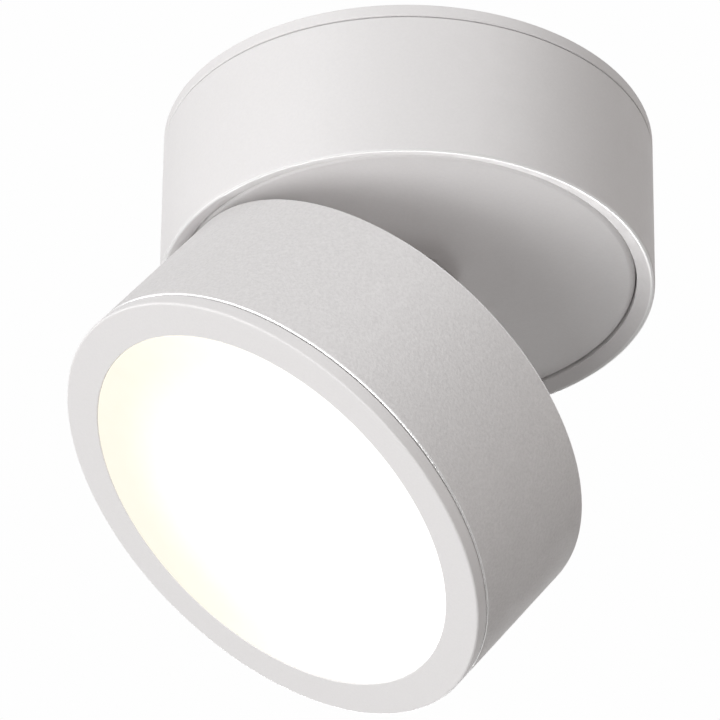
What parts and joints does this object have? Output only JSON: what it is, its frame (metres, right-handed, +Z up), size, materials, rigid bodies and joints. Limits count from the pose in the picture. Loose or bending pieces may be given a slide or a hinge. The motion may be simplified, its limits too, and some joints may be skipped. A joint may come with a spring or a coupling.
{
  "type": "surface mounted ceiling spotlight",
  "caption": "Round white surface mounted ceiling spotlight: a fixed drum with a lamp head of the same size that swivels and folds out on an edge hinge, with a large opal lens.",
  "frame": {"origin": "centre of the face that lies on the ceiling", "axes": "+Z up into the ceiling, hinge of the lamp head on the -X side"},
  "size_m": [0.1413, 0.12, 0.1467],
  "materials": {
    "white_powder_coat": "die-cast aluminium with a fine-textured white powder coat",
    "white_bezel_coat": "die-cast aluminium with a smooth satin white powder coat",
    "white_painted_steel": "white powder-coated steel",
    "bare_aluminium": "bare stamped aluminium",
    "steel": "zinc-plated steel",
    "brass": "plain brass",
    "grommet_rubber": "black rubber",
    "gasket_silicone": "white silicone",
    "thermal_silicone": "grey-blue thermal silicone",
    "white_nylon": "natural nylon",
    "white_polycarbonate": "white polycarbonate",
    "reflector_plastic": "matt white moulded plastic",
    "opal_acrylic": "opal acrylic, lit from behind",
    "circuit_board": "glass-fibre circuit board",
    "light_board_enamel": "aluminium circuit board with white enamel",
    "chip_phosphor": "light chips under yellow phosphor",
    "ferrite": "dark ferrite and varnished wire",
    "capacitor_sleeve": "shrink sleeve"
  },
  "bodies": {
    "base": {"ceiling_plate": "white_powder_coat", "cable_grommet": "grommet_rubber", "base_housing": "white_powder_coat", "housing_lock_screw": "steel", "terminal_block": "white_nylon", "terminal_clamp_screws": "steel", "terminal_fixing_screw": "steel", "earth_screw": "brass", "driver_case": "white_polycarbonate", "driver_cover": "white_polycarbonate", "driver_board": "circuit_board", "driver_transformer": "ferrite", "driver_capacitors": "capacitor_sleeve", "driver_choke": "ferrite", "driver_screws": "steel", "swivel_bush": "white_nylon", "glide_washer": "white_nylon"},
    "turntable": {"turntable_disc": "white_powder_coat", "swivel_stem": "steel", "stem_washer": "steel", "spring_washer": "steel", "swivel_nut": "steel", "stop_pin": "steel", "hinge_arm": "white_painted_steel", "hinge_arm_screws": "steel"},
    "head": {"head_housing": "white_powder_coat", "hinge_bracket": "steel", "bracket_screws": "steel", "hinge_bolt": "steel", "friction_washers": "white_nylon", "heat_spreader": "bare_aluminium", "spreader_screws": "steel", "thermal_pad": "thermal_silicone", "light_board": "light_board_enamel", "light_chips": "chip_phosphor", "board_connector": "white_nylon", "board_screws": "steel", "reflector": "reflector_plastic", "diffuser": "opal_acrylic", "diffuser_gasket": "gasket_silicone", "bezel_ring": "white_bezel_coat"}
  },
  "joints": [
    {"name": "swivel", "type": "hinge", "parent": "base", "child": "turntable", "pos_m": [0, 0, -0.04], "axis": [0, 0, 1], "range_deg": [-175, 175]},
    {"name": "head_tilt", "type": "hinge", "parent": "turntable", "child": "head", "pos_m": [-0.0534, 0, -0.0483], "axis": [0, 1, 0], "range_deg": [-37, 53]}
  ]
}
